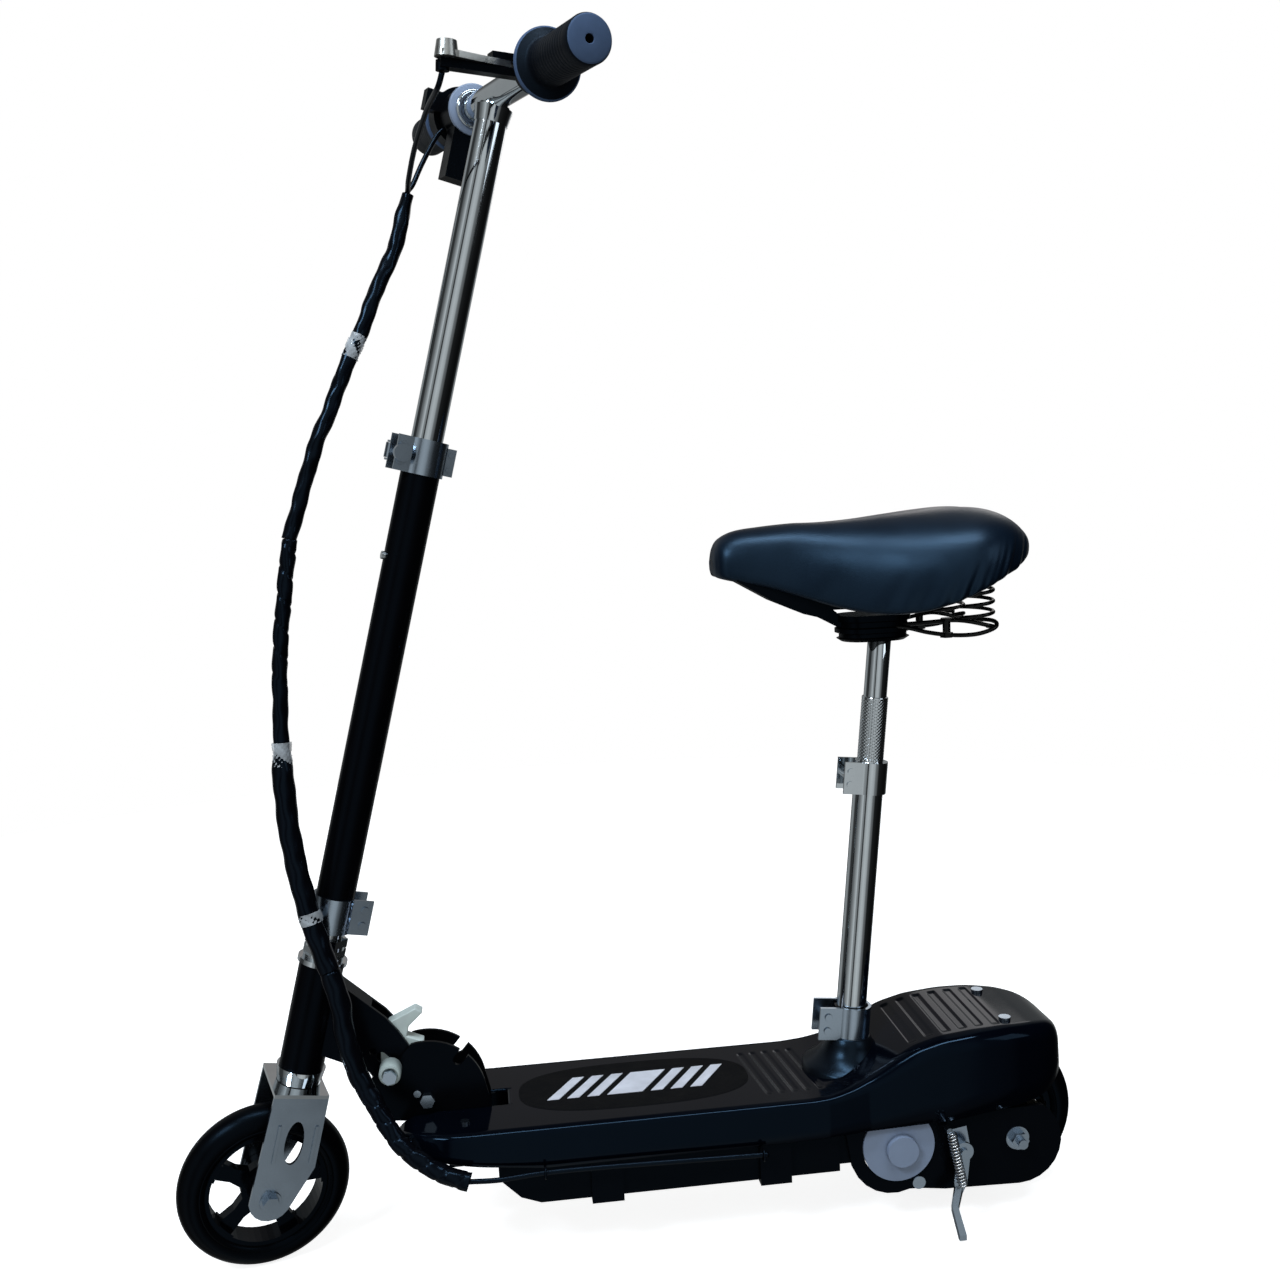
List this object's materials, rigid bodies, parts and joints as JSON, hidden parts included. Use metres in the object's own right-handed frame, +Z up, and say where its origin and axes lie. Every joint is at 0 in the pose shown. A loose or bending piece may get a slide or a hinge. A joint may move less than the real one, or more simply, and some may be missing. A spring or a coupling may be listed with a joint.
{
  "type": "electric kick scooter with seat",
  "caption": "Folding electric kick scooter with small solid wheels, height-adjustable handlebar, moulded deck over a battery tray and a sprung saddle on a telescopic post.",
  "frame": {"origin": "on the floor under the middle of the scooter's bounding box", "axes": "-X is the front, +Z is up, -Y is the rider's left"},
  "size_m": [0.7647, 0.378, 0.9664],
  "materials": {
    "frame_black": "satin black powder coat",
    "cover_black": "glossy moulded plastic",
    "black_plastic": "fine moulded texture",
    "zinc_steel": "bright zinc plate",
    "chrome": "polished chrome",
    "tyre_black": "smooth solid rubber",
    "rim_black": "glossy moulded nylon",
    "grip_rubber": "matte grip rubber",
    "motor_grey": "satin grey enamel",
    "lock_white": "translucent white nylon",
    "saddle_vinyl": "soft black vinyl",
    "cable_black": "glossy sleeve",
    "spring_steel": "zinc spring wire",
    "spring_black": "black wire",
    "battery_grey": "plain case",
    "chain_steel": "oiled chain",
    "cast_aluminium": "cast and bead blasted"
  },
  "bodies": {
    "deck": {"deck_rails": "frame_black", "cross_members": "frame_black", "fold_plate_left": "frame_black", "fold_plate_right": "frame_black", "frame_bolts": "zinc_steel", "motor_plate_left": "frame_black", "motor_plate_right": "frame_black", "seat_base_clamp": "zinc_steel", "seat_boot": "cover_black", "deck_cover": "cover_black", "battery_tray": "black_plastic", "tray_straps": "frame_black", "batteries": "battery_grey", "controller": "cast_aluminium", "charge_port": "black_plastic", "motor_body": "motor_grey", "motor_end_cap": "motor_grey", "rear_axle": "zinc_steel", "brake_band": "chain_steel", "drive_chain": "chain_steel", "kickstand_bracket": "zinc_steel", "deck_cable": "cable_black"},
    "rear_wheel": {"rear_tyre": "tyre_black", "rear_rim": "rim_black", "rear_sprocket": "chain_steel", "brake_drum": "chain_steel"},
    "motor_rotor": {"motor_pinion": "chain_steel"},
    "rear_brake": {"brake_arm": "zinc_steel"},
    "kickstand": {"kickstand": "zinc_steel", "kickstand_spring": "spring_steel"},
    "neck": {"neck_beam": "frame_black", "head_tube": "frame_black", "headset_cups": "chrome"},
    "fold_lock": {"lock_pin": "zinc_steel", "lock_hook": "lock_white"},
    "steering": {"fork_crown": "chrome", "fork_leg_left": "zinc_steel", "fork_leg_right": "zinc_steel", "front_axle": "zinc_steel", "steerer_clamp": "zinc_steel", "stem_tube": "frame_black", "stem_clamp": "zinc_steel", "wiring_harness": "cable_black"},
    "stem_lever": {"stem_clamp_lever": "zinc_steel"},
    "stem_button": {"snap_button": "chrome"},
    "front_wheel": {"front_tyre": "tyre_black", "front_rim": "rim_black"},
    "t_bar": {"handlebar": "chrome", "left_grip": "grip_rubber", "brake_perch": "black_plastic", "switch_box": "black_plastic", "bar_cables": "cable_black"},
    "throttle": {"throttle_grip": "grip_rubber"},
    "brake_handle": {"brake_lever": "cast_aluminium"},
    "seat_lower": {"seat_tube": "chrome"},
    "seat_upper": {"seat_post": "chrome", "saddle_clamp": "frame_black"},
    "saddle_top": {"saddle_base": "black_plastic", "saddle": "saddle_vinyl", "saddle_springs": "spring_black"}
  },
  "joints": [
    {"name": "rear_wheel_spin", "type": "hinge", "parent": "deck", "child": "rear_wheel", "pos_m": [0.313, 0, 0.07], "axis": [0, 1, 0], "continuous": true},
    {"name": "motor_spin", "type": "hinge", "parent": "deck", "child": "motor_rotor", "pos_m": [0.21, 0, 0.074], "axis": [0, 1, 0], "continuous": true},
    {"name": "kickstand_fold", "type": "hinge", "parent": "deck", "child": "kickstand", "pos_m": [0.262, -0.069, 0.069], "axis": [0, 1, 0], "range_deg": [-80, 0], "deforming": ["kickstand_spring"]},
    {"name": "neck_fold", "type": "hinge", "parent": "deck", "child": "neck", "pos_m": [-0.176, 0, 0.134], "axis": [0, 1, 0], "range_deg": [0, 24], "deforming": ["wiring_harness"]},
    {"name": "fold_lock_lift", "type": "slide", "parent": "neck", "child": "fold_lock", "axis": [-0.682, 0, 0.7314], "range_m": [0, 0.0096]},
    {"name": "steering_turn", "type": "hinge", "parent": "neck", "child": "steering", "pos_m": [-0.266, 0, 0.21019], "axis": [0.2554, 0, 0.9668], "range_deg": [-57, 23], "deforming": ["wiring_harness"]},
    {"name": "stem_lever_open", "type": "hinge", "parent": "steering", "child": "stem_lever", "pos_m": [-0.17305, 0.01324, 0.66452], "axis": [0.2554, 0, 0.9668], "range_deg": [0, 140]},
    {"name": "stem_button_press", "type": "slide", "parent": "steering", "child": "stem_button", "axis": [0.9221, 0.3007, -0.2436], "range_m": [0, 0.0025], "stiffness_N_per_m": 300},
    {"name": "front_wheel_spin", "type": "hinge", "parent": "steering", "child": "front_wheel", "pos_m": [-0.31353, -0.00319, 0.06988], "axis": [-0.2907, 0.9537, 0.0768], "continuous": true},
    {"name": "stem_height", "type": "slide", "parent": "steering", "child": "t_bar", "axis": [0.2554, 0, 0.9668], "range_m": [-0.19, 0], "deforming": ["wiring_harness"]},
    {"name": "throttle_twist", "type": "hinge", "parent": "t_bar", "child": "throttle", "pos_m": [-0.11879, 0.14306, 0.94393], "axis": [-0.2907, 0.9537, 0.0768], "range_deg": [0, 55], "stiffness_Nm_per_rad": 0.3},
    {"name": "brake_lever_pull", "type": "hinge", "parent": "t_bar", "child": "brake_handle", "pos_m": [-0.07236, -0.09828, 0.92653], "axis": [0.0748, -0.0574, 0.9955], "range_deg": [0, 16], "stiffness_Nm_per_rad": 2},
    {"name": "brake_arm_turn", "type": "hinge", "parent": "deck", "child": "rear_brake", "pos_m": [0.269, -0.0425, 0.074], "axis": [0, 1, 0], "range_deg": [0, 12]},
    {"name": "seat_tube_height", "type": "slide", "parent": "deck", "child": "seat_lower", "axis": [-0.1011, 0, -0.9949], "range_m": [-0.04, 0]},
    {"name": "seat_post_height", "type": "slide", "parent": "seat_lower", "child": "seat_upper", "axis": [-0.1011, 0, -0.9949], "range_m": [-0.04, 0.08]},
    {"name": "saddle_bounce", "type": "hinge", "parent": "seat_upper", "child": "saddle_top", "pos_m": [0.14, 0, 0.54], "axis": [0, 1, 0], "range_deg": [0, 3], "stiffness_Nm_per_rad": 500, "deforming": ["saddle_springs"]}
  ],
  "couplings": [
    {"joint": "motor_spin", "follows": "rear_wheel_spin", "ratio": 4.3333},
    {"joint": "fold_lock_lift", "follows": "neck_fold", "m_per_rad": 0.02268},
    {"joint": "brake_arm_turn", "follows": "brake_lever_pull", "ratio": 0.75}
  ]
}
